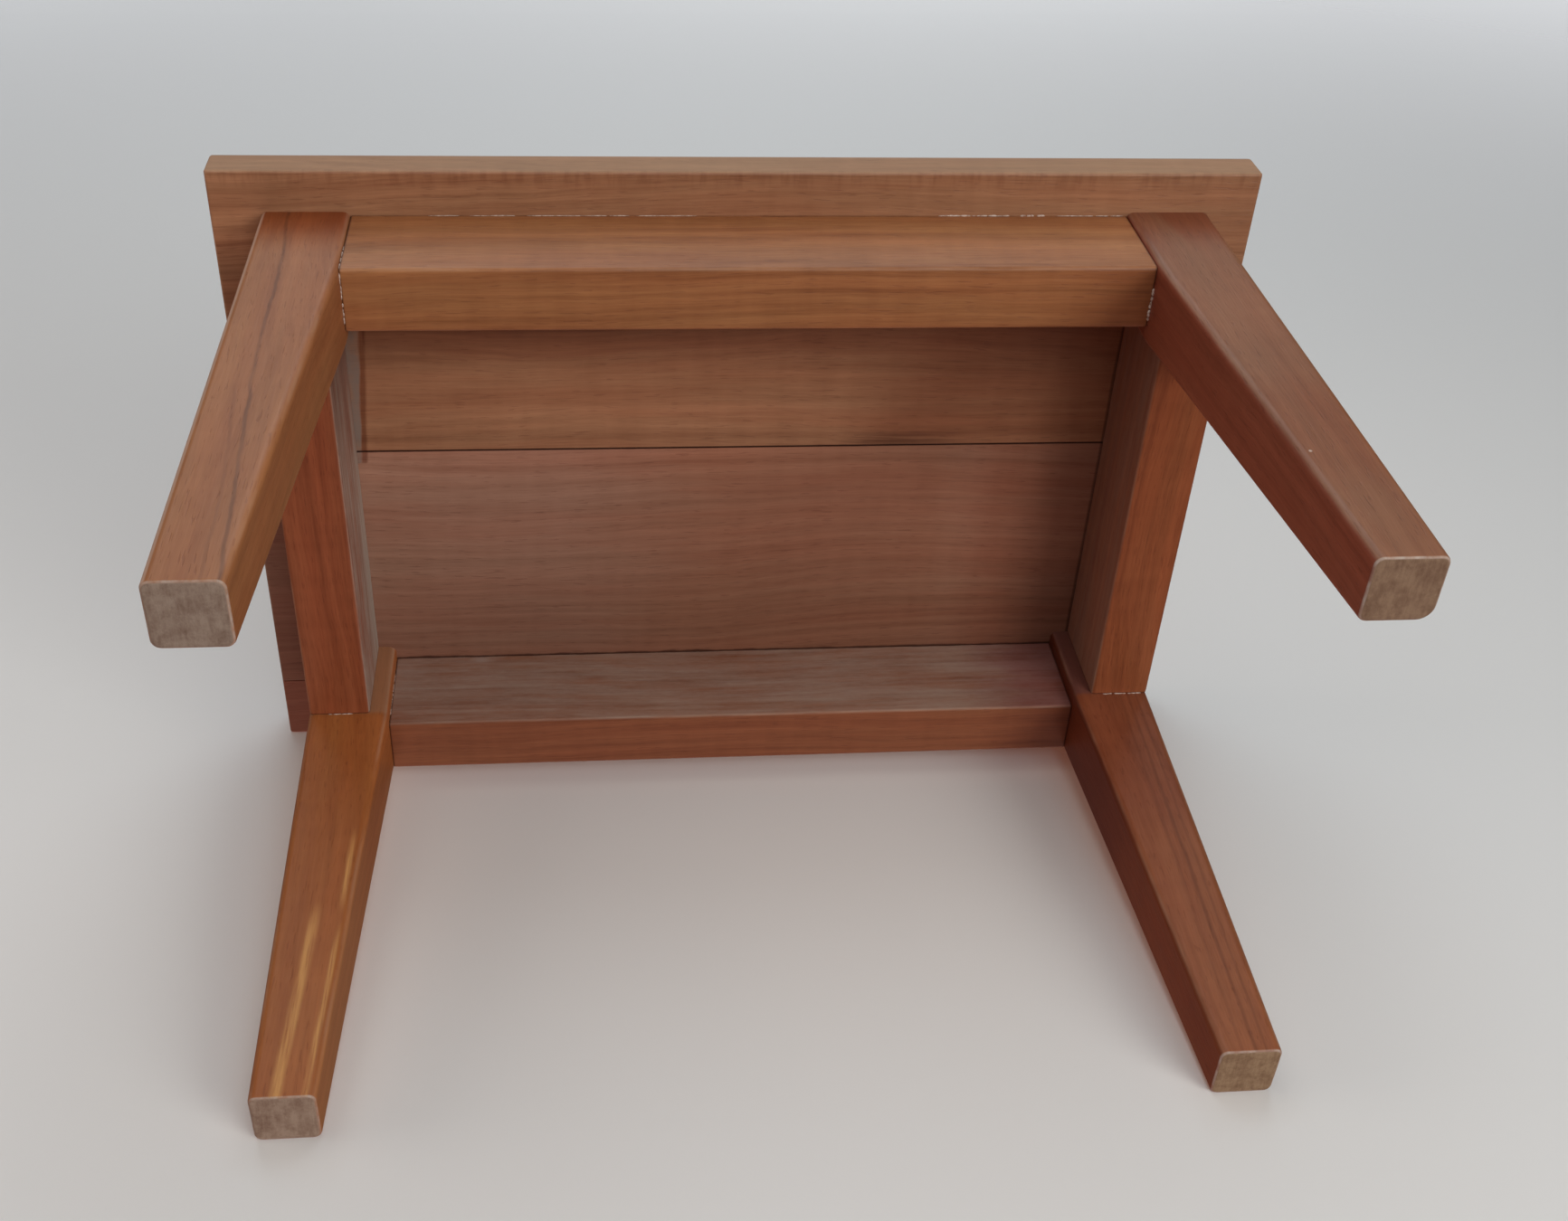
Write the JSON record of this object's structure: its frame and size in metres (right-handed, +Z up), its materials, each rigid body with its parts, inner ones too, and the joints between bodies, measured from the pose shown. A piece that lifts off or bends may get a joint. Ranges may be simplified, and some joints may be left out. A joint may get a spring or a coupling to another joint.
{
  "type": "wooden stool",
  "caption": "Low solid wood stool: a flat rectangular seat of glued boards on square legs tapered inside, with rails under the seat, joined by hidden dowels.",
  "frame": {"origin": "on the floor, under the middle of the seat", "axes": "+Z up, X along the seat's length with the left at -X, -Y towards the front"},
  "size_m": [0.4, 0.272, 0.25],
  "materials": {
    "seat_board_front": "oiled satin",
    "seat_board_middle": "oiled satin",
    "seat_board_back": "oiled satin",
    "leg_wood": "oiled satin",
    "long_rail_wood": "oiled satin",
    "end_rail_wood": "oiled satin",
    "dowel_wood": "bare beech, glued in"
  },
  "bodies": {
    "root": {"seat_board_front": "seat_board_front", "seat_board_middle": "seat_board_middle", "seat_board_back": "seat_board_back", "leg_front_left": "leg_wood", "leg_front_right": "leg_wood", "leg_back_left": "leg_wood", "leg_back_right": "leg_wood", "rail_front": "long_rail_wood", "rail_back": "long_rail_wood", "rail_left": "end_rail_wood", "rail_right": "end_rail_wood", "dowel_front_left_long_upper": "dowel_wood", "dowel_front_left_long_lower": "dowel_wood", "dowel_front_right_long_upper": "dowel_wood", "dowel_front_right_long_lower": "dowel_wood", "dowel_back_left_long_upper": "dowel_wood", "dowel_back_left_long_lower": "dowel_wood", "dowel_back_right_long_upper": "dowel_wood", "dowel_back_right_long_lower": "dowel_wood", "dowel_front_left_end_upper": "dowel_wood", "dowel_front_left_end_lower": "dowel_wood", "dowel_front_right_end_upper": "dowel_wood", "dowel_front_right_end_lower": "dowel_wood", "dowel_back_left_end_upper": "dowel_wood", "dowel_back_left_end_lower": "dowel_wood", "dowel_back_right_end_upper": "dowel_wood", "dowel_back_right_end_lower": "dowel_wood", "seat_dowel_leg_front_left": "dowel_wood", "seat_dowel_leg_front_right": "dowel_wood", "seat_dowel_leg_back_left": "dowel_wood", "seat_dowel_leg_back_right": "dowel_wood", "seat_dowel_rail_front_left": "dowel_wood", "seat_dowel_rail_front_right": "dowel_wood", "seat_dowel_rail_back_left": "dowel_wood", "seat_dowel_rail_back_right": "dowel_wood"}
  },
  "joints": []
}
